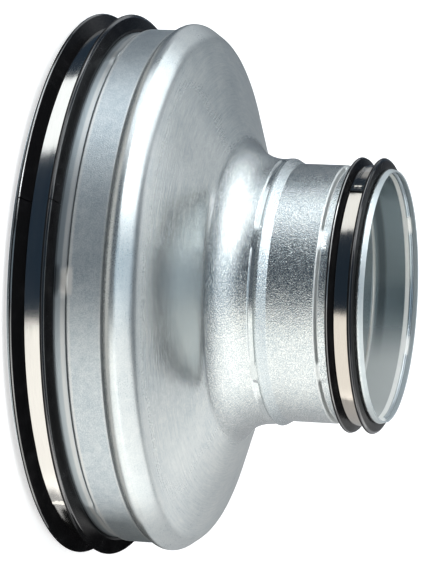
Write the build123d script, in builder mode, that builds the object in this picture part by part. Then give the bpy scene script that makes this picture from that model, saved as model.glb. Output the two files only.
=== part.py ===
import os
from math import acos, atan2, cos, degrees, radians, sin, tan

from build123d import *

# Pressed sheet-steel reducer for round air ducts, with a sealed spigot at each end.
# It stands on its large end: the axis is Z, the large rim lies at Z = 0, the small end is up.
# Sizes are millimetres and degrees. Radii are those of the sheet's outer face.

# Sheet steel of the pressing, with the inside radius of its sharp bends
sheet = 0.6
bend_radius = 0.3

# Main sizes: the whole height, and each spigot from its rim to the stop that the duct meets
overall_height = 120.7
large_spigot_radius = 99.5
large_spigot_length = 35.7
small_spigot_radius = 49.55
small_spigot_length = 36.7

# Rim, gasket seat and crease of the large spigot
large_rim_width = 1.2
large_rim_rise = 0.7
large_seat_depth = 1.3
large_seat_margin = 4.6

# Rim, gasket seat and crease of the small spigot
small_rim_width = 2.4
small_rim_rise = 0.8
small_rim_taper = 0.75
small_seat_depth = 1.5
small_seat_margin = 3.3

# Ramps between the levels of a spigot
rim_ramp = 0.6
crease_ramp = 0.9

# Stop step and rounded shoulder of the coned front face; corners are given before they are rounded
crest_run = 4.4
crest_rise = 3.45
crest_radius = 3.9
shoulder_run = 7.55
shoulder_drop = 5.35
shoulder_radius = 3.5

# Throat, groove and stop bead in front of the small spigot
throat_rise = 1.55
throat_length = 12.0
throat_straight = 0.7
groove_depth = 0.5
groove_width = 2.6
groove_flank = 0.45
bead_rise = 0.35
bead_width = 1.0
bead_radius = 0.6
bead_ramp = 3.2

# Rubber gaskets: a flat strip with two lips and a channel for the strap between them
gasket_base = 1.2
gasket_clearance = 0.1
gasket_end_gap = 0.1
lip_tip_width = 0.9
lip_tip_radius = 0.27
large_lip_height = 5.75
large_free_lip = 5.0
large_free_tip = 1.45
large_body_lip = 3.2
large_body_tip = 2.5
small_lip_height = 3.55
small_free_lip = 2.4
small_free_tip = 1.4
small_body_lip = 3.4
small_body_tip = 1.3

# Butt joint where the ends of a gasket strip meet, by angle from the front towards +X
butt_gap = 0.4
large_butt_angle = -16.4
small_butt_angle = 158.0

# Steel straps, each wound once round its gasket and closed by lapping its end over its start
strap_thickness = 0.4
strap_clearance = 0.12
strap_side_gap = 0.2
large_strap_width = 7.0
large_overlap_length = 26.0
large_overlap_end = 56.0
small_strap_width = 5.0
small_overlap_length = 15.0
small_overlap_end = -50.5

# Bridges: short stretches that the six-jawed forming tool leaves smooth at each crease and groove
bridge_count = 6
large_bridge_length = 8.0
large_bridge_angle = -0.3
large_bridge_run = 3.6
small_bridge_length = 9.0
small_bridge_angle = -23.5
small_bridge_run = 2.6

# Levels of the large spigot along Z, upward from its rim
large_seat_radius = large_spigot_radius - large_seat_depth
large_rim_radius = large_seat_radius + large_rim_rise
large_seat_start = large_rim_width + rim_ramp
large_channel = large_strap_width + 2 * strap_side_gap
large_gasket_start = large_seat_start + gasket_end_gap
large_gasket_end = large_gasket_start + large_free_lip + large_channel + large_body_lip
large_seat_end = large_gasket_end + large_seat_margin
large_crease = large_seat_end + crease_ramp

# Levels of the small spigot, downward from its rim
small_seat_radius = small_spigot_radius - small_seat_depth
small_rim_radius = small_seat_radius + small_rim_rise
small_channel = small_strap_width + 2 * strap_side_gap
small_rim_start = overall_height - small_rim_width
small_seat_end = small_rim_start - rim_ramp
small_gasket_end = small_seat_end - gasket_end_gap
small_gasket_start = small_gasket_end - small_free_lip - small_channel - small_body_lip
small_seat_start = small_gasket_start - small_seat_margin
small_crease = small_seat_start - crease_ramp

# Stop bead, groove and throat, downward from the stop that the small duct meets
small_stop = overall_height - small_spigot_length
throat_radius = small_spigot_radius + throat_rise
bead_outer = throat_radius + bead_rise
bead_end = small_stop - bead_ramp
groove_end = bead_end - bead_width
groove_start = groove_end - groove_width
groove_floor = throat_radius - groove_depth

# Corners of the coned front face, which takes up what is left of the height
crest = (large_spigot_radius + crest_rise, large_spigot_length + crest_run)
shoulder = (crest[0] - shoulder_drop, crest[1] + shoulder_run)
throat = (throat_radius, groove_start - throat_length)
face_tilt = atan2(shoulder[0] - throat[0], throat[1] - shoulder[1])
throat_fillet = (throat_length - throat_straight) / tan(face_tilt / 2)


def radial_plane(angle):
    """Half-plane through the axis, at an angle from the front (-Y) towards +X."""
    turn = radians(angle - 90)
    return Plane(origin=(0, 0, 0), x_dir=(cos(turn), sin(turn), 0), z_dir=(sin(turn), -cos(turn), 0))


def arc_angle(length, radius):
    """Angle in degrees that an arc of this length spans at this radius."""
    return length / radians(radius)


def bridge_angles(first_angle, arc):
    """Start angles of the bridges, evenly spaced round the axis."""
    return [first_angle - arc / 2 + step * 360 / bridge_count for step in range(bridge_count)]


# One-piece pressed shell: the outer line of the sheet, thickened inward and turned about the axis
outer_bend = bend_radius + sheet
shell_line = [
    (large_rim_radius, 0),
    (large_rim_radius, large_rim_width),
    (large_seat_radius, large_seat_start),
    (large_seat_radius, large_seat_end),
    (large_spigot_radius, large_crease),
    (large_spigot_radius, large_spigot_length),
    crest,
    shoulder,
    throat,
    (throat_radius, groove_start),
    (groove_floor, groove_start + groove_flank),
    (groove_floor, groove_end - groove_flank),
    (bead_outer, groove_end),
    (bead_outer, bead_end),
    (small_spigot_radius, small_stop),
    (small_spigot_radius, small_crease),
    (small_seat_radius, small_seat_start),
    (small_seat_radius, small_seat_end),
    (small_rim_radius, small_rim_start),
    (small_rim_radius - small_rim_taper, overall_height),
]
shell_radii = [
    outer_bend,
    bend_radius,
    bend_radius,
    outer_bend,
    bend_radius,
    crest_radius,
    shoulder_radius,
    throat_fillet,
    outer_bend,
    bend_radius,
    bend_radius,
    outer_bend,
    bead_radius + sheet,
    bend_radius,
    outer_bend,
    bend_radius,
    bend_radius,
    outer_bend,
]

# Corners of the ramp that fills a crease or groove at a bridge, outside the sheet
large_bridge = [
    (large_seat_radius, large_seat_end - large_bridge_run),
    (large_seat_radius, large_seat_end),
    (large_spigot_radius, large_crease),
]
small_bridge = [
    (small_spigot_radius, small_crease),
    (small_seat_radius, small_seat_start),
    (small_seat_radius, small_seat_start + small_bridge_run),
]
groove_bridge = [
    (throat_radius, groove_start),
    (groove_floor, groove_start + groove_flank),
    (groove_floor, groove_end - groove_flank),
    (bead_outer, groove_end),
]
large_bridge_arc = arc_angle(large_bridge_length, large_spigot_radius)
small_bridge_arc = arc_angle(small_bridge_length, small_spigot_radius)

with BuildPart() as reducer_body:
    with BuildSketch(Plane.XZ):
        with BuildLine():
            FilletPolyline(*shell_line, radius=shell_radii)
            offset(amount=sheet, side=Side.LEFT)
        make_face()
    revolve(axis=Axis.Z)
    for corners, first_angle, arc in (
        (large_bridge, large_bridge_angle, large_bridge_arc),
        (small_bridge, small_bridge_angle, small_bridge_arc),
        (groove_bridge, small_bridge_angle, small_bridge_arc),
    ):
        for angle in bridge_angles(first_angle, arc):
            with BuildSketch(radial_plane(angle)):
                with BuildLine():
                    Polyline(*corners, close=True)
                make_face()
            revolve(axis=Axis.Z, revolution_arc=arc)
reducer_body.part.label = "reducer_body"


def gasket_section(seat_radius, start, first_lip, first_tip, channel, second_lip, second_tip, lip_height):
    """Corners and rounding of a gasket strip; tips are measured from the strip's nearer end."""
    inner = seat_radius + gasket_clearance
    floor = inner + gasket_base
    crown = inner + lip_height + gasket_base
    channel_start = start + first_lip
    channel_end = channel_start + channel
    end = channel_end + second_lip
    first_tip_z = start + first_tip
    second_tip_z = end - second_tip
    half_tip = lip_tip_width / 2
    corners = [
        (inner, start),
        (floor, start),
        (crown, first_tip_z - half_tip),
        (crown, first_tip_z + half_tip),
        (floor, channel_start),
        (floor, channel_end),
        (crown, second_tip_z - half_tip),
        (crown, second_tip_z + half_tip),
        (floor, end),
        (inner, end),
    ]
    radii = [0, 0, lip_tip_radius, lip_tip_radius, 0, 0, lip_tip_radius, lip_tip_radius, 0, 0]
    return corners, radii


# Large rubber gasket, with the slit of its butt joint
large_corners, large_radii = gasket_section(
    large_seat_radius, large_gasket_start, large_free_lip, large_free_tip,
    large_channel, large_body_lip, large_body_tip, large_lip_height)
with BuildPart() as large_gasket:
    with BuildSketch(radial_plane(large_butt_angle)):
        with BuildLine():
            FilletPolyline(*large_corners, radius=large_radii, close=True)
        make_face()
    revolve(axis=Axis.Z, revolution_arc=360 - arc_angle(butt_gap, large_seat_radius))
large_gasket.part.label = "large_gasket"

# Small rubber gasket
small_corners, small_radii = gasket_section(
    small_seat_radius, small_gasket_start, small_body_lip, small_body_tip,
    small_channel, small_free_lip, small_free_tip, small_lip_height)
with BuildPart() as small_gasket:
    with BuildSketch(radial_plane(small_butt_angle)):
        with BuildLine():
            FilletPolyline(*small_corners, radius=small_radii, close=True)
        make_face()
    revolve(axis=Axis.Z, revolution_arc=360 - arc_angle(butt_gap, small_seat_radius))
small_gasket.part.label = "small_gasket"


def lapped_strap(inner, start, width, lap_length, lap_end):
    """Band whose end leaves it along a tangent and lies on it over the lap's length."""
    outer = inner + strap_thickness
    lap_outer = outer + strap_thickness
    lap_arc = arc_angle(lap_length, inner)
    rise_arc = degrees(acos(outer / lap_outer))
    with BuildPart() as strap:
        with BuildSketch(Plane.XY.offset(start)):
            with BuildLine():
                lap = CenterArc((0, 0), lap_outer, lap_end - lap_arc - 90, lap_arc)
                band = CenterArc((0, 0), outer, lap_end - 90, 360 - lap_arc - rise_arc)
                Line(band @ 1, lap @ 0)
                Line(lap @ 1, band @ 0)
            make_face()
            Circle(inner, mode=Mode.SUBTRACT)
        extrude(amount=width)
    return strap


# Large steel strap
large_strap = lapped_strap(
    large_seat_radius + gasket_clearance + gasket_base + strap_clearance,
    large_gasket_start + large_free_lip + strap_side_gap,
    large_strap_width, large_overlap_length, large_overlap_end)
large_strap.part.label = "large_strap"

# Small steel strap
small_strap = lapped_strap(
    small_seat_radius + gasket_clearance + gasket_base + strap_clearance,
    small_gasket_start + small_body_lip + strap_side_gap,
    small_strap_width, small_overlap_length, small_overlap_end)
small_strap.part.label = "small_strap"

os.makedirs("parts", exist_ok=True)
for piece in (reducer_body, large_gasket, large_strap, small_gasket, small_strap):
    export_step(piece.part, f"parts/{piece.part.label}.step")
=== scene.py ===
from collections import namedtuple
from math import acos, atan2, cos, pi, radians, sin, tan
from types import SimpleNamespace

import bpy
import numpy as np
from bpy.props import FloatProperty, FloatVectorProperty, IntProperty, PointerProperty
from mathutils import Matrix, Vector


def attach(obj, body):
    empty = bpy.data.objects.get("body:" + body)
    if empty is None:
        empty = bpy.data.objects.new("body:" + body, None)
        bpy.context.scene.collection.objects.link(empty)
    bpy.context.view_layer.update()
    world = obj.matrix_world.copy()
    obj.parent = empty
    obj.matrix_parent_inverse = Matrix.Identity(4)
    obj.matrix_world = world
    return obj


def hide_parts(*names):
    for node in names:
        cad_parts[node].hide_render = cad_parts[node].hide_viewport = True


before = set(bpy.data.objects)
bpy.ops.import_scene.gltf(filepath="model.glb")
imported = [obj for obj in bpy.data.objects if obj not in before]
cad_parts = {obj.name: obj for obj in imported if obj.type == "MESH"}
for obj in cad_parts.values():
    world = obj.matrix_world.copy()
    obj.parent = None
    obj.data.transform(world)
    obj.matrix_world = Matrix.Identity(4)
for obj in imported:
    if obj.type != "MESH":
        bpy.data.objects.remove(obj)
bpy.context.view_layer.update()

bl_info = {
    "name": "Duct Reducer",
    "version": (1, 0, 0),
    "blender": (4, 5, 0),
    "location": "3D View > Sidebar > Duct Reducer",
    "description": "Dresses a sealed sheet-steel duct reducer and its studio",
    "category": "Object",
}

MM = 0.001
WHITE = (1.0, 1.0, 1.0, 1.0)
BLACK = (0.0, 0.0, 0.0, 1.0)

# Spacing of the rows along an outline, and the turn from row to row in its roundings
OUTER_PITCH, OUTER_TURN = 2.6 * MM, radians(10)
INNER_PITCH, INNER_TURN = 9 * MM, radians(20)
LIP_PITCH, LIP_TURN = 1.5 * MM, radians(16)
STRAP_PITCH, STRAP_TURN = 0.4 * MM, radians(15)

# A flat that is long beside its rounding has an extra row near each end, so that it shades flat
LONG_FLAT = 4
EXTRA_ROW = 0.4
FEWEST_TURNS = 3
SAME_POINT = 1e-7

# Edges that turn by more than this stay sharp
SHELL_CREASE = radians(40)
STRIP_CREASE = radians(35)

# Power of a Blender area lamp, for each unit of radiance and of area
LAMP_POWER = 4

# Noise runs from 0 to 1 about this
NOISE_MIDDLE = 0.5


def length(title, text, millimetres):
    """A size, written here in millimetres and kept in metres."""
    return FloatProperty(name=title, description=text, default=millimetres * MM, unit="LENGTH", precision=5)


def angle(title, text, degrees):
    """An angle round the axis from the front towards +X, written here in degrees."""
    return FloatProperty(name=title, description=text, default=radians(degrees), unit="ROTATION")


def colour(title, text, value):
    """A colour in linear light, with full alpha."""
    return FloatVectorProperty(
        name=title, description=text, default=(*value, 1.0), size=4, subtype="COLOR", min=0.0, max=1.0)


def levels(title, millimetres):
    """Six heights of a gasket, written here in millimetres."""
    return FloatVectorProperty(
        name=title, description="Heights of start, first tip, channel, channel end, second tip and end",
        default=[height * MM for height in millimetres], size=6, unit="LENGTH", precision=5)


class ShellSizes(bpy.types.PropertyGroup):
    """Sizes of the pressed shell; radii are those of its outer face."""

    sheet: length("Sheet", "Thickness of the sheet steel", 0.6)
    bend: length("Bend", "Inside radius of the sharp bends", 0.3)
    large_radius: length("Large spigot radius", "Plain part of the large spigot", 99.5)
    large_length: length("Large spigot length", "From the large rim to the stop step", 35.7)
    large_rim: length("Large rim radius", "Rim that keeps the gasket on", 98.9)
    large_rim_width: length("Large rim width", "Straight part of the large rim", 1.2)
    large_seat: length("Large seat radius", "Floor of the large gasket's seat", 98.2)
    large_seat_start: length("Large seat start", "Height where the large seat starts", 1.8)
    large_seat_end: length("Large seat end", "Height where the large seat ends", 22.1)
    crease_ramp: length("Crease ramp", "Height of the ramp at a crease", 0.9)
    rim_ramp: length("Rim ramp", "Height of the ramp behind a rim", 0.6)
    crest_radius: length("Crest", "Radius of the stop step's corner before rounding", 102.95)
    crest_height: length("Crest height", "Height of that corner", 40.1)
    crest_round: length("Crest rounding", "Rounding of the stop step", 3.9)
    shoulder_radius: length("Shoulder", "Radius of the shoulder's corner before rounding", 97.6)
    shoulder_height: length("Shoulder height", "Height of that corner", 47.65)
    shoulder_round: length("Shoulder rounding", "Rounding of the shoulder", 7.0)
    throat_radius: length("Throat", "Radius of the throat", 51.1)
    throat_height: length("Throat height", "Height of the throat's corner before rounding", 65.2)
    throat_round: length("Throat rounding", "Rounding of the throat", 16.35)
    groove_start: length("Groove start", "Height where the groove below the bead starts", 77.2)
    groove_width: length("Groove width", "Width of the groove below the bead", 2.6)
    groove_flank: length("Groove flank", "Height of each flank of the groove", 0.45)
    groove_depth: length("Groove depth", "Depth of the groove below the throat", 0.5)
    bead_radius: length("Bead", "Radius of the stop bead", 51.45)
    bead_width: length("Bead width", "Flat width of the stop bead", 1.0)
    bead_ramp: length("Bead ramp", "Height of the ramp down to the small spigot", 3.2)
    bead_round: length("Bead rounding", "Rounding of the bead's free edge", 1.2)
    small_radius: length("Small spigot radius", "Plain part of the small spigot", 49.55)
    small_crease: length("Small crease", "Height of the crease below the small seat", 102.2)
    small_seat: length("Small seat radius", "Floor of the small gasket's seat", 48.05)
    small_seat_end: length("Small seat end", "Height where the small seat ends", 117.7)
    small_rim: length("Small rim radius", "Rim that keeps the small gasket on", 48.85)
    small_mouth: length("Small mouth radius", "Edge that the small rim tapers to", 48.1)
    height: length("Overall height", "From the large rim to the small rim", 120.7)
    bridge_count: IntProperty(name="Bridges", description="Smooth stretches left at each crease", default=6)
    bridge_edge: FloatProperty(name="Bridge edge", description="Soft share of a bridge", default=0.14)
    large_bridge_angle: angle("Large bridges", "Angle of the first bridge on the large crease", -0.3)
    large_bridge_length: length("Large bridge length", "Arc of a bridge on the large crease", 8.0)
    large_bridge_run: length("Large bridge run", "Height of its ramp on the seat", 3.6)
    small_bridge_angle: angle("Small bridges", "Angle of the first bridge on the small spigot", -23.5)
    small_bridge_length: length("Small bridge length", "Arc of a bridge on the small crease", 9.0)
    small_bridge_run: length("Small bridge run", "Height of its ramp on the seat", 2.6)
    segments: IntProperty(name="Segments", description="Facets round the axis", default=360, min=24)


class GasketSizes(bpy.types.PropertyGroup):
    """Sizes of the two rubber gaskets, from the large end upward."""

    base: length("Base", "Thickness of the flat strip", 1.2)
    tip_width: length("Lip tip", "Width of a lip's tip", 0.9)
    tip_slant: length("Lip slant", "Drop of a lip's tip towards the small end", 0.4)
    tip_round: length("Lip rounding", "Rounding of a lip's tip", 0.27)
    facet_round: length("Facet rounding", "Rounding between the facets of a second lip", 0.6)
    root_round: length("Root rounding", "Rounding at the root of a lip", 0.35)
    edge_round: length("Edge rounding", "Rounding of the strip's edges", 0.2)
    butt_gap: length("Butt gap", "Slit where the strip's ends meet", 0.4)
    large_inner: length("Large gasket radius", "Inner radius of the large gasket", 98.3)
    large_crown: length("Large lip radius", "Radius at the tips of the large lips", 105.25)
    large_levels: levels("Large levels", (1.9, 3.35, 6.9, 14.3, 15.0, 17.5))
    small_inner: length("Small gasket radius", "Inner radius of the small gasket", 48.15)
    small_crown: length("Small lip radius", "Radius at the tips of the small lips", 52.9)
    small_levels: levels("Small levels", (106.4, 107.7, 109.8, 115.2, 116.2, 117.6))
    large_butt: angle("Large butt joint", "Angle of the large gasket's slit", -16.4)
    small_butt: angle("Small butt joint", "Angle of the small gasket's slit", 158.0)
    segments: IntProperty(name="Segments", description="Facets round the axis", default=480, min=24)


class StrapSizes(bpy.types.PropertyGroup):
    """Sizes of the two steel straps."""

    thickness: length("Thickness", "Thickness of the strip", 0.4)
    edge: length("Edge rounding", "Rounding of the strip's edges", 0.12)
    crown: length("Crown", "Rise of the strip's middle over its edges", 0.10)
    large_inner: length("Large strap radius", "Inner radius of the large strap", 99.62)
    large_start: length("Large strap start", "Height of the large strap's lower edge", 7.1)
    large_width: length("Large strap width", "Width of the large strap", 7.0)
    large_overlap: length("Large overlap", "Arc of the large strap's overlapped end", 26.0)
    large_end: angle("Large overlap end", "Angle where the large strap ends", 56.0)
    small_inner: length("Small strap radius", "Inner radius of the small strap", 49.47)
    small_start: length("Small strap start", "Height of the small strap's lower edge", 110.0)
    small_width: length("Small strap width", "Width of the small strap", 5.0)
    small_overlap: length("Small overlap", "Arc of the small strap's overlapped end", 15.0)
    small_end: angle("Small overlap end", "Angle where the small strap ends", -50.5)
    segments: IntProperty(name="Segments", description="Facets round the axis", default=540, min=24)
    lap_segments: IntProperty(name="Lap segments", description="Facets along a lap", default=140, min=8)
    sink: length("Sink", "Depth of a lap's start in the strip below", 0.01)
    weld_depth: length("Weld depth", "Depth of a spot weld", 0.16)
    weld_round: length("Weld radius", "Radius of a spot weld", 0.75)
    weld_back: length("Weld place", "Distance of the welds from the strip's end", 2.6)
    weld_pitch: length("Weld pitch", "Distance between the two welds", 1.7)
    tip_lift: length("Tip lift", "Rise of the strip's sprung end", 0.22)
    tip_run: length("Tip run", "Length of that rise", 1.3)


class Finishes(bpy.types.PropertyGroup):
    """Colours of the materials."""

    zinc_light: colour("Zinc, light", "Bright grains of the galvanised sheet", (0.71, 0.725, 0.705))
    zinc_dark: colour("Zinc, dark", "Dull grains of the galvanised sheet", (0.41, 0.465, 0.49))
    satin_light: colour("Satin zinc, light", "Bright grains of the undrawn sheet", (0.53, 0.565, 0.57))
    satin_dark: colour("Satin zinc, dark", "Dull grains of the undrawn sheet", (0.33, 0.38, 0.415))
    # Burnished zinc is rubbed smooth and also carries a painted warm reflection
    burnished_sheen: colour("Burnished zinc", "Zinc rubbed smooth beside the bends", (0.60, 0.59, 0.565))
    # The inside zinc is painted darker, as shade inside the shell
    inside: colour("Inside zinc", "Zinc on the inside of the shell", (0.30, 0.365, 0.395))
    # Painted highlights inside: lines behind the small rim and at the small crease, and bridge patches
    pressed: colour("Pressed line", "Pale line inside, behind the small rim", (0.80, 0.80, 0.77))
    # The seat zinc is painted darker as the shade of the large gasket
    seat: colour("Seat zinc", "Dull zinc beside the large gasket", (0.35, 0.39, 0.41))
    # Painted shade: crease and stop-step lines, under the large lip, a dimple, a band inside
    painted_shade: colour("Soil", "Grease and dust held in the creases", (0.055, 0.065, 0.075))
    rubber: colour("Rubber", "Black moulded rubber", (0.0045, 0.0045, 0.005))
    bloom: colour("Bloom", "Faint grey bloom on the rubber", (0.0101, 0.0101, 0.011))
    large_strap: colour("Large strap", "Bright steel of the large strap", (0.63, 0.61, 0.575))
    small_strap: colour("Small strap", "Steel of the small strap, a little warmer", (0.53, 0.49, 0.44))


class StudioSettings(bpy.types.PropertyGroup):
    """Floor, black card, lamps and camera."""

    floor_colour: colour("Floor", "Plain pale floor", (0.85, 0.85, 0.85))
    room_colour: colour("Room", "Unlit room on the camera's side", (0.024, 0.042, 0.068))
    bounce_colour: colour("Bounce", "Floor as the metal shows it", (0.84, 0.81, 0.76))
    card_colour: colour("Card", "Black cloth of the card", (0.01, 0.01, 0.011))
    floor_size: length("Floor size", "Side of the floor", 6000.0)
    floor_drop: length("Floor drop", "Depth of the floor below the large rim", 0.2)
    floor_lift: FloatProperty(name="Floor lift", description="White for the camera alone", default=0.55)
    card_side: length("Card side", "Distance of the black card from the axis", 107.0)
    card_front: length("Card front", "Front edge of the card", -40.0)
    card_back: length("Card back", "Back edge of the card", 140.0)
    card_height: length("Card height", "Height of the card", 36.0)
    aim_height: length("Aim height", "Height on the axis that the lamps face", 60.0)
    lens: FloatProperty(name="Lens", description="Focal length in millimetres", default=207.24)
    sensor: FloatProperty(name="Sensor", description="Width of the sensor in millimetres", default=36.0)
    eye: FloatVectorProperty(
        name="Eye", description="Where the camera stands", default=(-0.0021006, -1.2160785, 0.3883910),
        subtype="TRANSLATION", unit="LENGTH")
    turn: FloatVectorProperty(
        name="Turn", description="Turn of the camera, which lies on its side",
        default=(radians(-9.29229), radians(-74.20995), radians(99.64995)), subtype="EULER")


def rounded_line(corners, pitch, turn_step):
    """Points and outward normals along a line of (radius, height, rounding) corners."""
    spots = [np.array(corner[:2]) for corner in corners]
    ways = [(after - before) / np.linalg.norm(after - before) for before, after in zip(spots, spots[1:])]
    faces = [np.array((way[1], -way[0])) for way in ways]
    turns = [0.0]
    for before, after in zip(faces, faces[1:]):
        turns.append(atan2(before[0] * after[1] - before[1] * after[0], before @ after))
    turns.append(0.0)
    cuts = [corner[2] * abs(tan(turn / 2)) for corner, turn in zip(corners, turns)]
    points = []
    normals = []
    for index, way in enumerate(ways):
        start = spots[index] + way * cuts[index]
        end = spots[index + 1] - way * cuts[index + 1]
        run = np.linalg.norm(end - start)
        last_rounding = corners[index][2]
        rounding = corners[index + 1][2]
        steps = max(1, round(run / pitch))
        shares = [step / steps for step in range(steps + 1)]
        if run > LONG_FLAT * last_rounding > 0:
            shares.append(last_rounding * EXTRA_ROW / run)
        if run > LONG_FLAT * rounding > 0:
            shares.append(1 - rounding * EXTRA_ROW / run)
        for share in sorted(shares):
            points.append(start + (end - start) * share)
            normals.append(faces[index])
        if index + 1 < len(ways) and cuts[index + 1] > 0:
            turn = turns[index + 1]
            side = 1 if turn > 0 else -1
            centre = end - side * rounding * faces[index]
            first = atan2(faces[index][1], faces[index][0])
            bits = max(FEWEST_TURNS, round(abs(turn) / turn_step))
            for bit in range(1, bits):
                heading = first + turn * bit / bits
                normal = np.array((cos(heading), sin(heading)))
                points.append(centre + side * rounding * normal)
                normals.append(normal)
    return without_repeats(np.array(points), np.array(normals))


def without_repeats(points, normals):
    """The same line with no point twice in a row."""
    keep = [0]
    for index in range(1, len(points)):
        if np.linalg.norm(points[index] - points[keep[-1]]) > SAME_POINT:
            keep.append(index)
    return points[keep], normals[keep]


def spread(points, count):
    """Radii and heights of a line's points, repeated for a number of angles."""
    return [np.repeat(points[:, [axis]], count, axis=1) for axis in (0, 1)]


def turned(rows, heights, angles):
    """Vertices of rows turned about the axis; rows and heights are arrays by row and angle."""
    around = angles[None, :]
    return np.stack([rows * np.sin(around), -rows * np.cos(around), heights], axis=-1)


def ring_faces(rows, columns, offset, closed):
    """Quads of a grid whose rows close on themselves, and whose columns do if closed."""
    row = np.arange(rows)
    column = np.arange(columns if closed else columns - 1)
    here, there = np.meshgrid(row, column, indexing="ij")
    next_row = (here + 1) % rows
    next_column = (there + 1) % columns
    quads = np.stack([
        here * columns + there,
        here * columns + next_column,
        next_row * columns + next_column,
        next_row * columns + there,
    ], axis=-1)
    return (quads.reshape(-1, 4) + offset).tolist()


def end_faces(rows, columns, offset):
    """The two end faces of an open turn."""
    first = [offset + row * columns for row in range(rows)]
    last = [offset + row * columns + columns - 1 for row in range(rows)]
    return [first, last[::-1]]


def new_object(name, data):
    """An object in the scene."""
    made = bpy.data.objects.new(name, data)
    bpy.context.scene.collection.objects.link(made)
    return made


def add_piece(name, node, vertices, faces, material, crease_angle):
    """A smooth mesh piece that stands for a node of the frame."""
    mesh = bpy.data.meshes.new(name)
    mesh.from_pydata(vertices.tolist(), [], faces)
    mesh.polygons.foreach_set("use_smooth", [True] * len(mesh.polygons))
    mesh.set_sharp_from_angle(angle=crease_angle)
    mesh.materials.append(material)
    mesh.validate()
    piece = new_object(name, mesh)
    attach(piece, "root")
    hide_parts(node)


def apart(angles, centre):
    """Angles measured from a centre, the short way round."""
    return (angles - centre + pi) % (2 * pi) - pi


def plateau(distance, half, edge):
    """1 within half, falling smoothly to 0 over edge."""
    share = np.clip((half + edge - np.abs(distance)) / (2 * edge), 0, 1)
    return share * share * (3 - 2 * share)


def joined(operation, reflected=False):
    """A method that joins a signal and another value by a Math node."""
    def method(self, other):
        first, second = (other, self) if reflected else (self, other)
        return self.board.node("ShaderNodeMath", {"operation": operation}, {0: first, 1: second})
    return method


class Signal:
    """A number, colour or vector on a shader socket; numbers work in plain expressions."""

    def __init__(self, board, socket):
        self.board = board
        self.socket = socket

    __add__ = joined("ADD")
    __radd__ = joined("ADD", reflected=True)
    __sub__ = joined("SUBTRACT")
    __rsub__ = joined("SUBTRACT", reflected=True)
    __mul__ = joined("MULTIPLY")
    __rmul__ = joined("MULTIPLY", reflected=True)
    __truediv__ = joined("DIVIDE")
    __rtruediv__ = joined("DIVIDE", reflected=True)
    __pow__ = joined("POWER")
    __rpow__ = joined("POWER", reflected=True)


def total(start, *parts):
    """A number or a signal plus weighted signals."""
    for signal, weight in parts:
        start = start + signal * weight
    return start


class Board:
    """A node tree to which nodes are added."""

    def __init__(self, tree):
        self.tree = tree
        tree.nodes.clear()

    def node(self, kind, settings=None, sockets=None, out=0):
        """Adds one node, with its settings first and then its sockets' values or links."""
        made = self.tree.nodes.new(kind)
        for name, value in (settings or {}).items():
            setattr(made, name, value)
        for name, value in (sockets or {}).items():
            if isinstance(value, Signal):
                self.tree.links.new(value.socket, made.inputs[name])
            else:
                made.inputs[name].default_value = value
        return Signal(self, made.outputs[out]) if made.outputs else None

    def noise(self, place, scale, detail, roughness=0.5):
        """Soft noise from 0 to 1, with features of about 1 / scale."""
        sockets = {"Vector": place, "Scale": scale, "Detail": detail, "Roughness": roughness}
        return self.node("ShaderNodeTexNoise", None, sockets)

    def step(self, value, low, high):
        """0 below low, 1 above high, smooth between."""
        sockets = {"Value": value, "From Min": low, "From Max": high}
        return self.node("ShaderNodeMapRange", {"interpolation_type": "SMOOTHSTEP"}, sockets)

    def bridges(self, around, first, count, low, high):
        """1 at bridges spaced evenly round the axis, 0 between them; low and high are cosines."""
        cosine = self.node("ShaderNodeMath", {"operation": "COSINE"}, {0: (around - first) * count})
        return self.step(cosine, low, high)

    def band(self, value, low, high, edge):
        """1 between low and high, 0 outside, with soft edges."""
        return self.step(value, low - edge, low + edge) * (1 - self.step(value, high - edge, high + edge))

    def mix(self, share, first, second):
        """A colour between two colours."""
        return self.node("ShaderNodeMix", {"data_type": "RGBA"}, {0: share, 6: first, 7: second}, 2)

    def combine(self, x, y, z):
        """A vector from three numbers."""
        return self.node("ShaderNodeCombineXYZ", None, {0: x, 1: y, 2: z})

    def split(self, vector):
        """The three numbers of a vector."""
        made = self.node("ShaderNodeSeparateXYZ", None, {0: vector}).socket.node
        return [Signal(self, socket) for socket in made.outputs]

    def place(self):
        """The point on the piece in millimetres, its coordinates, and its distance from the axis."""
        point = self.node("ShaderNodeTexCoord", None, None, "Object")
        point = self.node("ShaderNodeVectorMath", {"operation": "SCALE"}, {0: point, "Scale": 1 / MM})
        x, y, z = self.split(point)
        return SimpleNamespace(point=point, x=x, y=y, z=z, radius=(x * x + y * y) ** 0.5)

    def wound(self, at, turns, along):
        """A point for noise that runs round the axis in streaks."""
        return self.combine(at.x / at.radius * turns, at.y / at.radius * turns, along)


def new_board(name):
    """A material and the board of its node tree."""
    material = bpy.data.materials.new(name)
    material.use_nodes = True
    return material, Board(material.node_tree)


def surfaced(material, board, sockets, height, depth):
    """The material with a principled surface and a bump."""
    bump = board.node("ShaderNodeBump", None, {"Strength": 1.0, "Distance": depth, "Height": height})
    surface = board.node("ShaderNodeBsdfPrincipled", None, {**sockets, "Normal": bump})
    board.node("ShaderNodeOutputMaterial", None, {"Surface": surface})
    return material


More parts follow.
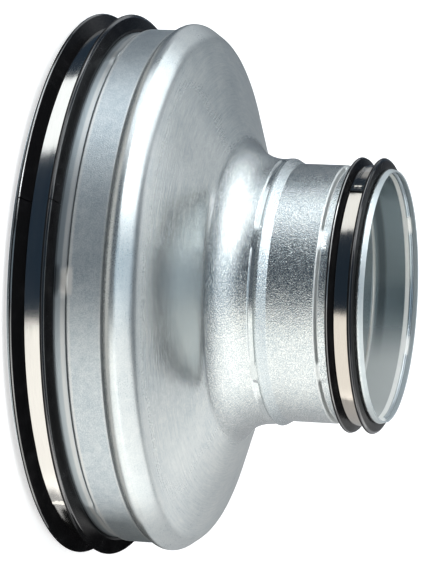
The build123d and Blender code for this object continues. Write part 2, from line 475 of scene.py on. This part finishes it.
class Zones:
    """Where the sheet's finish changes, in millimetres: low and high, and the soft edge of a band."""

    # Heights, from the large end up
    lip_shadow = (17.2, 18.2, 0.3)
    dimple = (17.6, 19.3, 0.6)
    bridge_patch = (20.0, 25.0, 1.0)
    before_crease = (20.1, 21.9, 0.4)
    seat_end = (21.9, 22.4)
    large_crease = (22.25, 22.85, 0.2)
    past_crease = (23.2, 24.3, 0.35)
    before_riser = (35.0, 35.9, 0.35)
    riser = (35.9, 37.1, 0.3)
    spigot_end = (36.0, 37.0)
    shoulder = (37.2, 48.0, 1.2)
    face_start = (46.8, 49.2)
    groove = (77.0, 79.8, 0.4)
    bead = (80.2, 84.0, 0.5)
    crease_highlight = (101.8, 103.4, 0.3)
    inner_crease = (102.2, 103.6, 0.4)
    small_crease = (102.3, 103.0, 0.25)
    shaded = (104.6, 107.8, 0.9)
    inner_highlight_line = (115.6, 117.3, 0.3)
    inner_highlight_patch = (115.6, 119.0, 0.4)
    inner_rim = (117.4, 118.0)
    rim = (118.7, 119.5)

    # The throat's foot, crisp in front and soft at the sides, and the edge of the polished part of the face
    foot_radius = 58.6
    foot_height = 63.0
    foot_slope = 0.2
    crisp_foot = (-0.5, 0.5)
    soft_foot = (-3.0, 3.0)
    polish_radius = 93.0
    polish_edge = (-3.0, 9.0)

    # Cosines of the turn from the front, from +X, from the sheet's outer side and from a bridge
    front = (0.35, 0.75)
    lit_side = (0.05, 0.6)
    outside = (-0.15, 0.15)
    large_bridge = (0.93, 0.985)
    first_bridge = (0.9974, 0.9994)
    small_bridge = (0.8, 1.0)


def steel_zones(board, at, size):
    """Masks of the sheet's parts, each from 0 to 1."""
    z = at.z

    def band(limits):
        return board.band(z, *limits)

    round_x = at.x / at.radius
    round_y = at.y / at.radius
    around = board.node("ShaderNodeMath", {"operation": "ARCTAN2"}, {0: at.x, 1: 0 - at.y})
    bridge = board.bridges(around, size.large_bridge_angle, size.bridge_count, *Zones.large_bridge)
    first_bridge = board.bridges(around, size.large_bridge_angle, 1, *Zones.first_bridge)
    small_bridge = board.bridges(around, size.small_bridge_angle, size.bridge_count, *Zones.small_bridge)
    normal = board.node("ShaderNodeNewGeometry", None, None, "Normal")
    outward = board.node("ShaderNodeVectorMath", {"operation": "DOT_PRODUCT"},
                         {0: normal, 1: board.combine(round_x, round_y, 0.0)}, "Value")
    outside = board.step(outward, *Zones.outside)
    inside = 1 - outside

    front = board.step(0 - round_y, *Zones.front)
    past_foot = Zones.foot_radius - at.radius + (z - Zones.foot_height) * Zones.foot_slope
    crisp = board.step(past_foot, *Zones.crisp_foot)
    soft = board.step(past_foot, *Zones.soft_foot)
    throat = front * crisp + (1 - front) * soft
    rim = board.step(z, *Zones.rim)
    face = board.step(z, *Zones.face_start) * (1 - throat)
    lit_side = inside * board.step(round_x, *Zones.lit_side)
    # Painted highlights inside, behind the small rim, at the small crease and at the small bridges
    pressed = inside * total(
        band(Zones.inner_highlight_line) * (1 - small_bridge),
        (band(Zones.inner_crease), 0.6),
        (small_bridge, band(Zones.inner_highlight_patch)))
    # Painted shade on the outside: crease lines, the stop step, under the large lip and a dimple
    painted_outer_shade = outside * total(
        band(Zones.large_crease) * (1 - bridge),
        (band(Zones.small_crease), 0.15),
        (band(Zones.riser), 0.5),
        (band(Zones.lip_shadow), 0.6),
        (first_bridge * band(Zones.dimple), 0.5))

    # Rubbed bands beside the bends and patches at the bridges, also painted with a warm reflection
    smear = board.noise(board.wound(at, turns=3.0, along=z * 0.35), scale=1.0, detail=3.0)
    rubbed = total(
        band(Zones.before_crease) * (0.3 + smear * 0.5),
        (band(Zones.past_crease), 0.2 + smear * 0.6),
        (band(Zones.before_riser), 0.1 + smear * 0.5))
    patch = band(Zones.bridge_patch) * (bridge * 0.25 + first_bridge * 0.65)
    rubbed = board.node("ShaderNodeMath", {"operation": "MAXIMUM"}, {0: rubbed, 1: patch})

    return SimpleNamespace(
        inside=inside, rim=rim, face=face, lit_side=lit_side, pressed=pressed, painted_outer_shade=painted_outer_shade,
        rubbed=board.step(rubbed, 0.0, 1.0),
        stretched=outside * throat * (1 - rim) * (1 - band(Zones.groove) * 0.85),
        bead=outside * band(Zones.bead),
        shoulder=band(Zones.shoulder),
        polished=face * board.step(Zones.polish_radius - at.radius, *Zones.polish_edge) * front,
        spigot=1 - board.step(z, *Zones.spigot_end),
        # The seat beside the large gasket, painted darker as its shade
        seat=outside * (1 - board.step(z, *Zones.seat_end)),
        # A painted highlight beside the small crease
        crease_highlight=outside * band(Zones.crease_highlight),
        inner_rim=inside * board.step(z, *Zones.inner_rim),
        shaded=inside * band(Zones.shaded) * (1 - lit_side))


def steel_grain(board, at):
    """Noises of the zinc's grain and of its rubbed streaks, each about 0."""
    stipple = board.noise(at.point, scale=2.6, detail=1.0)
    rubbing = board.wound(at, turns=7.0, along=at.z * 2.4 - at.radius * 1.2)
    return SimpleNamespace(
        stipple=stipple - NOISE_MIDDLE,
        speck=board.step(stipple, 0.40, 0.60) - NOISE_MIDDLE,
        fleck=board.noise(at.point, scale=3.4, detail=1.0) - NOISE_MIDDLE,
        mottle=board.noise(at.point, scale=0.32, detail=4.0, roughness=0.65) - NOISE_MIDDLE,
        cloud=board.noise(at.point, scale=0.055, detail=4.0, roughness=0.55) - NOISE_MIDDLE,
        streak=board.noise(rubbing, scale=1.0, detail=4.0, roughness=0.6) - NOISE_MIDDLE)


def steel_colour(board, zone, grain, finishes):
    """Light and dark zinc grains, under rubbed bends, painted highlights and painted shade."""
    share = total(
        0.5,
        # Specks: the grain's own tone, and painted dark reflections on the stipple's tilted facets
        (grain.speck, total(0.25, (zone.stretched, 0.4), (zone.spigot, 0.35))),
        (grain.cloud, 0.6),
        (grain.mottle, total(0.5, (zone.spigot, 0.7))),
        (grain.streak, total(0.35, (zone.face, 1.0), (zone.polished, -0.5))))
    drawn = board.mix(share, finishes.zinc_dark, finishes.zinc_light)
    satin = board.mix(share, finishes.satin_dark, finishes.satin_light)
    # The seat painted darker as the large gasket's shade
    satin = board.mix(zone.seat, satin, finishes.seat)
    base = board.mix(zone.spigot, drawn, satin)
    layers = (
        # Rubbed bends and bridge patches, with a painted warm reflection
        (zone.rubbed, finishes.burnished_sheen),
        # Inside painted darker as shade, and its lit side painted lighter
        (zone.inside * 0.8, finishes.inside),
        (zone.lit_side * 0.9, finishes.zinc_light),
        (zone.inner_rim * 0.7, finishes.satin_dark),
        # Painted highlights inside
        (zone.pressed, finishes.pressed),
        (zone.bead * 0.45 + zone.rim * 0.5, finishes.zinc_dark),
        # A painted highlight beside the small crease
        (zone.crease_highlight * 0.5, finishes.zinc_light),
        # Painted shade on the outside and a painted dark band inside
        (zone.painted_outer_shade + zone.shaded * 0.6, finishes.painted_shade),
    )
    for cover, shade in layers:
        base = board.mix(cover, base, shade)
    return base


def galvanised_steel(finishes, size):
    """Zinc-coated sheet: grain, stipple where stretched, rubbed streaks, and rubbed bends painted with a
    warm reflection.
    """
    material, board = new_board("galvanised_steel")
    at = board.place()
    zone = steel_zones(board, at, size)
    grain = steel_grain(board, at)
    roughness = total(
        0.20, (zone.spigot, 0.14), (zone.shoulder, 0.10), (zone.face, 0.11), (zone.polished, -0.15),
        (zone.rim, 0.25), (zone.bead, 0.06), (zone.pressed, 0.2),
        (grain.cloud, 0.10), (grain.stipple, 0.08), (grain.streak, 0.07))
    metal = total(
        0.88, (zone.stretched, 0.06), (zone.spigot, -0.10), (zone.rim, -0.2), (zone.face, -0.2),
        (zone.polished, 0.14), (zone.rubbed, -0.2), (zone.pressed, -0.5), (zone.lit_side, -0.45),
        (zone.crease_highlight, -0.45))
    unworn = 1 - zone.rubbed
    stipple_height = total(0.06, (zone.stretched, 0.85), (zone.shoulder, 0.15), (zone.spigot, 0.5))
    fleck_height = total(0.05, (zone.stretched, 0.3), (zone.spigot, 0.15))
    streak_height = total(0.05, (zone.spigot, 0.08), (zone.face, 0.13))
    height = total(
        grain.stipple * stipple_height * unworn,
        (grain.fleck * fleck_height, unworn),
        (grain.streak, streak_height))
    base = steel_colour(board, zone, grain, finishes)
    sockets = {"Base Color": base, "Metallic": metal, "Roughness": roughness}
    return surfaced(material, board, sockets, height, depth=0.17 * MM)


def gasket_rubber(finishes):
    """Black moulded rubber with a faint bloom, and polished ridges on its lips."""
    material, board = new_board("gasket_rubber")
    at = board.place()
    # Ridges in millimetres: heights on the second and the first lip, and radii
    ridges = (
        ((15.3, 16.0, 0.15), (3.4, 3.9, 0.12), (103.8, 105.2, 0.2)),
        ((116.4, 117.0, 0.15), (107.8, 108.2, 0.1), (51.5, 52.9, 0.2)),
    )
    large_ridge, small_ridge = [
        (board.band(at.z, *second) + board.band(at.z, *first)) * board.band(at.radius, *tips)
        for second, first, tips in ridges]
    grain = board.noise(at.point, scale=1.6, detail=3.0, roughness=0.6)
    cloud = board.noise(at.point, scale=0.12, detail=3.0)
    base = board.mix(board.step(cloud, 0.45, 0.8), finishes.rubber, finishes.bloom)
    roughness = total(0.23, (cloud - NOISE_MIDDLE, 0.2), (grain - NOISE_MIDDLE, 0.10))
    sockets = {
        "Base Color": base, "Roughness": roughness, "Specular IOR Level": 0.07,
        "Coat Weight": large_ridge + small_ridge, "Coat Roughness": 0.14, "Coat IOR": 2.4}
    return surfaced(material, board, sockets, grain, depth=0.04 * MM)


def strap_steel(finishes):
    """Bright rolled strip, brushed along its length, a little warmer on the small strap."""
    material, board = new_board("strap_steel")
    at = board.place()
    brush = board.noise(board.wound(at, turns=14.0, along=at.z * 9.0), scale=1.0, detail=4.0, roughness=0.6)
    smear = board.noise(at.point, scale=0.09, detail=3.0)
    between_straps = (50.0, 70.0)
    at_small_end = board.step(at.z, *between_straps)
    bright = board.mix(at_small_end, finishes.large_strap, finishes.small_strap)
    dull = board.mix(0.24, bright, BLACK)
    base = board.mix(brush, dull, bright)
    roughness = total(0.14, (brush - NOISE_MIDDLE, 0.10), (smear - NOISE_MIDDLE, 0.12))
    sockets = {"Base Color": base, "Metallic": 1.0, "Roughness": roughness}
    return surfaced(material, board, sockets, brush, depth=0.008 * MM)


class OBJECT_OT_reducer_shell(bpy.types.Operator):
    """Build the pressed galvanised shell"""

    bl_idname = "object.reducer_shell"
    bl_label = "Pressed Shell"

    def corners(self, size):
        """The outer line of the sheet from the large rim up to the small rim."""
        outer = size.bend + size.sheet
        groove_floor = size.throat_radius - size.groove_depth
        groove_end = size.groove_start + size.groove_width
        bead_end = groove_end + size.bead_width
        large_crease = size.large_seat_end + size.crease_ramp
        small_seat_start = size.small_crease + size.crease_ramp
        return [
            (size.large_rim, 0.0, 0.0),
            (size.large_rim, size.large_rim_width, outer),
            (size.large_seat, size.large_seat_start, size.bend),
            (size.large_seat, size.large_seat_end - size.large_bridge_run, 0.0),
            (size.large_seat, size.large_seat_end, size.bend),
            (size.large_radius, large_crease, outer),
            (size.large_radius, size.large_length, size.bend),
            (size.crest_radius, size.crest_height, size.crest_round),
            (size.shoulder_radius, size.shoulder_height, size.shoulder_round),
            (size.throat_radius, size.throat_height, size.throat_round),
            (size.throat_radius, size.groove_start, outer),
            (groove_floor, size.groove_start + size.groove_flank, size.bend),
            (groove_floor, groove_end - size.groove_flank, size.bend),
            (size.bead_radius, groove_end, outer),
            (size.bead_radius, bead_end, size.bead_round),
            (size.small_radius, bead_end + size.bead_ramp, size.bend),
            (size.small_radius, size.small_crease, outer),
            (size.small_seat, small_seat_start, size.bend),
            (size.small_seat, small_seat_start + size.small_bridge_run, 0.0),
            (size.small_seat, size.small_seat_end, size.bend),
            (size.small_rim, size.small_seat_end + size.rim_ramp, outer),
            (size.small_mouth, size.height, 0.0),
        ]

    def bridged(self, size, points, rows, angles):
        """The outer rows with the creases and the groove filled at the bridges."""
        groove_end = size.groove_start + size.groove_width
        ramps = (
            (size.large_bridge_angle, size.large_bridge_length / size.large_radius,
             (size.large_seat, size.large_seat_end - size.large_bridge_run),
             (size.large_radius, size.large_seat_end + size.crease_ramp)),
            (size.small_bridge_angle, size.small_bridge_length / size.small_radius,
             (size.small_radius, size.small_crease),
             (size.small_seat, size.small_crease + size.crease_ramp + size.small_bridge_run)),
            (size.small_bridge_angle, size.small_bridge_length / size.small_radius,
             (size.throat_radius, size.groove_start),
             (size.bead_radius, groove_end)),
        )
        height = points[:, 1]
        for first, arc, low, high in ramps:
            inside = (height >= low[1]) & (height <= high[1])
            level = low[0] + (high[0] - low[0]) * (height - low[1]) / (high[1] - low[1])
            fill = np.where(inside, np.maximum(level - points[:, 0], 0), 0)
            weight = np.zeros(len(angles))
            for step in range(size.bridge_count):
                away = apart(angles, first + step * 2 * pi / size.bridge_count)
                weight += plateau(away, arc / 2, arc * size.bridge_edge)
            rows = rows + fill[:, None] * weight[None, :]
        return rows

    def execute(self, context):
        size = context.scene.reducer_shell
        points, _ = rounded_line(self.corners(size), OUTER_PITCH, OUTER_TURN)
        inner_points, inner_normals = rounded_line(self.corners(size), INNER_PITCH, INNER_TURN)
        inner_points = inner_points - inner_normals * size.sheet
        angles = np.arange(size.segments) * 2 * pi / size.segments
        rows, heights = spread(np.concatenate([points, inner_points[::-1]]), size.segments)
        rows[:len(points)] = self.bridged(size, points, rows[:len(points)], angles)
        vertices = turned(rows, heights, angles).reshape(-1, 3)
        faces = ring_faces(len(rows), size.segments, 0, True)
        material = galvanised_steel(context.scene.reducer_finishes, size)
        add_piece("pressed_shell", "reducer_body",
                  vertices, faces, material, SHELL_CREASE)
        return {"FINISHED"}


class OBJECT_OT_reducer_gaskets(bpy.types.Operator):
    """Build the two rubber gaskets with their lips"""

    bl_idname = "object.reducer_gaskets"
    bl_label = "Rubber Gaskets"

    # Facets of a second lip: along, in half tip widths, and down, in slants
    facets = ((0.7, 1.0), (1.9, 3.0))

    def section(self, size, inner, crown, heights):
        """Closed outline of a strip from its six heights."""
        start, first_tip, channel, channel_end, second_tip, end = heights
        floor = inner + size.base
        half = size.tip_width / 2
        second_lip = [(crown - size.tip_slant * down, second_tip + half * along, size.facet_round)
                      for along, down in self.facets]
        return [
            (inner, start, 0.0),
            (floor, start, size.edge_round),
            (crown, first_tip - half, size.tip_round),
            (crown - size.tip_slant, first_tip + half, size.tip_round),
            (floor, channel, size.root_round),
            (floor, channel_end, size.root_round),
            (crown, second_tip - half, size.tip_round),
            *second_lip,
            (floor, end, size.edge_round),
            (inner, end, 0.0),
        ]

    def strip(self, size, name, node, inner, crown, heights, butt, material):
        """One gasket, turned from one side of its butt joint to the other."""
        points, _ = rounded_line(self.section(size, inner, crown, heights), LIP_PITCH, LIP_TURN)
        gap = size.butt_gap / inner
        angles = butt + np.linspace(0.0, 2 * pi - gap, size.segments)
        rows, heights = spread(points, size.segments)
        vertices = turned(rows, heights, angles).reshape(-1, 3)
        faces = ring_faces(len(rows), size.segments, 0, False)
        faces += end_faces(len(rows), size.segments, 0)
        add_piece(name, node, vertices, faces, material, STRIP_CREASE)

    def execute(self, context):
        size = context.scene.reducer_gaskets
        material = gasket_rubber(context.scene.reducer_finishes)
        self.strip(size, "large_lip_gasket", "large_gasket", size.large_inner, size.large_crown,
                   size.large_levels, size.large_butt, material)
        self.strip(size, "small_lip_gasket", "small_gasket", size.small_inner, size.small_crown,
                   size.small_levels, size.small_butt, material)
        return {"FINISHED"}


class OBJECT_OT_reducer_straps(bpy.types.Operator):
    """Build the two steel straps with their overlapped ends"""

    bl_idname = "object.reducer_straps"
    bl_label = "Steel Straps"

    # Rounding of the crown, in strip widths
    crown_round = 2

    def pinch(self, size, across, back, width):
        """Change of radius at the lap's end: two spot welds, and a tip that springs up behind them."""
        change = size.tip_lift * np.exp(-(back / size.tip_run) ** 2)
        for side in (-0.5, 0.5):
            off = across - width / 2 - side * size.weld_pitch
            away = (off ** 2 + (back - size.weld_back) ** 2) / size.weld_round ** 2
            change = change - size.weld_depth * np.exp(-away)
        return change

    def section(self, size, inner, start, width):
        """Outline of the strip, from its lower inner edge round its outer face."""
        outer = inner + size.thickness
        return [
            (inner, start, 0.0),
            (outer, start, size.edge),
            (outer + size.crown, start + width / 2, width * self.crown_round),
            (outer, start + width, size.edge),
            (inner, start + width, 0.0),
        ]

    def strap(self, size, name, node, inner, start, width, overlap, end, material):
        """One strap, wound once round, with its end lapped over its start."""
        outer = inner + size.thickness
        arc = overlap / inner
        rise = acos(outer / (outer + size.thickness))
        points, _ = rounded_line(self.section(size, inner, start, width), STRAP_PITCH, STRAP_TURN)
        vertices = []
        faces = []
        count = 0
        turns = (
            (np.arange(size.segments) * 2 * pi / size.segments, True),
            (np.linspace(end - arc - rise, end, size.lap_segments), False),
        )
        for angles, closed in turns:
            rows, heights = spread(points, len(angles))
            if not closed:
                away = np.minimum(angles - angles[0], rise)
                rows = rows + outer / np.cos(away)[None, :] - outer
                rows = rows - size.sink * (angles[-1] - angles) / (arc + rise)
                rows = rows + self.pinch(size, heights - start, (end - angles)[None, :] * inner, width)
            vertices.append(turned(rows, heights, angles).reshape(-1, 3))
            faces += ring_faces(len(rows), len(angles), count, closed)
            if not closed:
                faces += end_faces(len(rows), len(angles), count)
            count += len(rows) * len(angles)
        add_piece(name, node, np.concatenate(vertices), faces, material, STRIP_CREASE)

    def execute(self, context):
        size = context.scene.reducer_straps
        material = strap_steel(context.scene.reducer_finishes)
        self.strap(size, "large_steel_strap", "large_strap", size.large_inner, size.large_start,
                   size.large_width, size.large_overlap, size.large_end, material)
        self.strap(size, "small_steel_strap", "small_strap", size.small_inner, size.small_start,
                   size.small_width, size.small_overlap, size.small_end, material)
        return {"FINISHED"}


# A soft lamp: its direction in degrees, with the azimuth from the camera's side towards +X, its distance
# from the fitting and its size in metres, and its light
Softbox = namedtuple("Softbox", "name azimuth elevation distance width height radiance shade")
lamps = (
    Softbox("softbox_side", -78, -6, 1.3, 0.98, 1.2, 1.48, (0.92, 0.97, 1.0)),
    Softbox("softbox_high", -78, 32, 1.3, 2.3, 0.9, 1.6, (0.95, 0.985, 1.0)),
    Softbox("striplight", -60, 27, 1.3, 1.0, 0.12, 8.0, (0.98, 0.99, 1.0)),
    Softbox("softbox_corner", -44, 48, 1.3, 0.5, 0.3, 2.2, (0.97, 0.99, 1.0)),
    Softbox("softbox_fill", 60, -2, 1.3, 2.4, 1.45, 1.30, (1.0, 0.985, 0.94)),
    Softbox("softbox_fill_high", 66, 44, 1.3, 2.6, 1.0, 1.12, (1.0, 0.99, 0.96)),
    Softbox("softbox_front", -6, 42, 1.5, 0.7, 1.5, 0.60, (0.70, 0.87, 1.0)),
    Softbox("softbox_top", -130, 62, 1.5, 0.7, 0.5, 0.7, (0.98, 0.99, 1.0)),
    Softbox("softbox_back_left", -164, 50, 1.6, 0.98, 1.2, 0.42, (0.985, 1.0, 0.985)),
    Softbox("softbox_back_right", 164, 44, 1.6, 0.98, 1.4, 0.58, (1.0, 0.995, 0.97)),
    Softbox("softbox_left_low", -138, 4, 1.6, 0.9, 0.95, 0.43, (0.97, 0.99, 1.0)),
    Softbox("softbox_under", 0, -90, 0.6, 0.35, 0.35, 1.0, (0.98, 0.99, 1.0)),
)


class SCENE_OT_reducer_studio(bpy.types.Operator):
    """Set the floor, the soft lamps, the backdrop and the camera"""

    bl_idname = "scene.reducer_studio"
    bl_label = "Studio"

    # White backdrop as the metal shows it: its reach to the right, soft edge, level and rise to the right
    backdrop_reach = 0.7
    backdrop_edge = (0.65, 1.03)
    backdrop_level = 0.30
    backdrop_rise = 0.5

    # Pale floor as the metal shows it: soft edge by the downward look, and level
    bounce_edge = (0.50, 0.64)
    bounce_level = 0.8

    def panel(self, name, corners, material):
        """A flat piece of the studio."""
        mesh = bpy.data.meshes.new(name)
        mesh.from_pydata(corners, [], [(0, 1, 2, 3)])
        mesh.materials.append(material)
        piece = new_object(name, mesh)
        return piece

    def floor(self, studio):
        """A plain pale floor that takes the shadow and stays out of the metal's reflections."""
        half = studio.floor_size / 2
        level = -studio.floor_drop
        material, board = new_board("studio_floor")
        diffuse = board.node("ShaderNodeBsdfDiffuse", None, {"Color": studio.floor_colour})
        seen = board.node("ShaderNodeLightPath", None, None, "Is Camera Ray")
        lift = board.node("ShaderNodeEmission", None, {"Color": WHITE, "Strength": seen * studio.floor_lift})
        both = board.node("ShaderNodeAddShader", None, {0: diffuse, 1: lift})
        board.node("ShaderNodeOutputMaterial", None, {"Surface": both})
        corners = [(-half, -half, level), (half, -half, level), (half, half, level), (-half, half, level)]
        piece = self.panel("studio_floor", corners, material)
        piece.visible_glossy = False
        piece.visible_shadow = False

    def backdrop(self, studio):
        """White for the camera; for the metal, a backdrop behind, a pale floor below and an unlit room."""
        world = bpy.data.worlds.new("studio")
        world.use_nodes = True
        bpy.context.scene.world = world
        board = Board(world.node_tree)
        rays = board.node("ShaderNodeLightPath").socket.node.outputs
        camera, glossy, through = [
            Signal(board, rays[f"Is {kind} Ray"]) for kind in ("Camera", "Glossy", "Transmission")]
        across, ahead, up = board.split(board.node("ShaderNodeTexCoord", None, None, "Generated"))
        behind = board.step(ahead + across * self.backdrop_reach, *self.backdrop_edge)
        behind = behind * (self.backdrop_level + across * self.backdrop_rise)
        below = board.step(0 - up, *self.bounce_edge) * self.bounce_level
        room = board.mix(glossy * behind, studio.room_colour, WHITE)
        room = board.mix(glossy * below, room, studio.bounce_colour)
        shade = board.mix(camera + through, room, WHITE)
        light = board.node("ShaderNodeBackground", None, {"Color": shade, "Strength": 1.0})
        board.node("ShaderNodeOutputWorld", None, {"Surface": light})

    def softbox(self, studio, lamp):
        """A rectangular soft lamp that faces the middle of the fitting."""
        light = bpy.data.lights.new(lamp.name, "AREA")
        light.shape = "RECTANGLE"
        light.size = lamp.width
        light.size_y = lamp.height
        light.energy = lamp.radiance * LAMP_POWER * lamp.width * lamp.height
        light.color = lamp.shade
        middle = Vector((0.0, 0.0, studio.aim_height))
        around = radians(lamp.azimuth)
        above = radians(lamp.elevation)
        way = Vector((sin(around) * cos(above), -cos(around) * cos(above), sin(above)))
        holder = new_object(lamp.name, light)
        holder.location = middle + way * lamp.distance
        holder.rotation_euler = (-way).to_track_quat("-Z", "Y").to_euler()
        holder.visible_camera = False

    def flag(self, studio):
        """A black card low on the right, seen only in mirrored light, that darkens the large end there."""
        material, board = new_board("black_card")
        cloth = board.node("ShaderNodeBsdfDiffuse", None, {"Color": studio.card_colour})
        board.node("ShaderNodeOutputMaterial", None, {"Surface": cloth})
        side, front, back, top = studio.card_side, studio.card_front, studio.card_back, studio.card_height
        corners = [(side, front, 0.0), (side, back, 0.0), (side, back, top), (side, front, top)]
        piece = self.panel("black_card", corners, material)
        piece.visible_camera = False
        piece.visible_diffuse = False
        piece.visible_shadow = False

    def camera(self, studio):
        """The photograph's view, with the camera on its side."""
        data = bpy.data.cameras.new("camera")
        data.lens = studio.lens
        data.sensor_width = studio.sensor
        data.clip_start = 0.05
        data.clip_end = 50.0
        holder = new_object("camera", data)
        holder.location = studio.eye
        holder.rotation_euler = studio.turn
        bpy.context.scene.camera = holder

    def execute(self, context):
        studio = context.scene.reducer_studio
        self.floor(studio)
        self.backdrop(studio)
        for lamp in lamps:
            self.softbox(studio, lamp)
        self.flag(studio)
        self.camera(studio)
        context.scene.view_settings.view_transform = "Standard"
        return {"FINISHED"}


class VIEW3D_PT_reducer(bpy.types.Panel):
    """Lists the pieces of the fitting"""

    bl_idname = "VIEW3D_PT_reducer"
    bl_label = "Duct Reducer"
    bl_space_type = "VIEW_3D"
    bl_region_type = "UI"
    bl_category = "Duct Reducer"

    def draw(self, context):
        for operator in operators:
            self.layout.operator(operator.bl_idname)


groups = {
    "reducer_shell": ShellSizes,
    "reducer_gaskets": GasketSizes,
    "reducer_straps": StrapSizes,
    "reducer_finishes": Finishes,
    "reducer_studio": StudioSettings,
}
operators = (
    OBJECT_OT_reducer_shell,
    OBJECT_OT_reducer_gaskets,
    OBJECT_OT_reducer_straps,
    SCENE_OT_reducer_studio,
)


def register():
    for name, group in groups.items():
        bpy.utils.register_class(group)
        setattr(bpy.types.Scene, name, PointerProperty(type=group))
    for operator in operators:
        bpy.utils.register_class(operator)
    bpy.utils.register_class(VIEW3D_PT_reducer)


def unregister():
    bpy.utils.unregister_class(VIEW3D_PT_reducer)
    for operator in reversed(operators):
        bpy.utils.unregister_class(operator)
    for name, group in reversed(groups.items()):
        delattr(bpy.types.Scene, name)
        bpy.utils.unregister_class(group)


def main():
    register()
    bpy.ops.object.reducer_shell()
    bpy.ops.object.reducer_gaskets()
    bpy.ops.object.reducer_straps()
    bpy.ops.scene.reducer_studio()


if __name__ == "__main__":
    main()
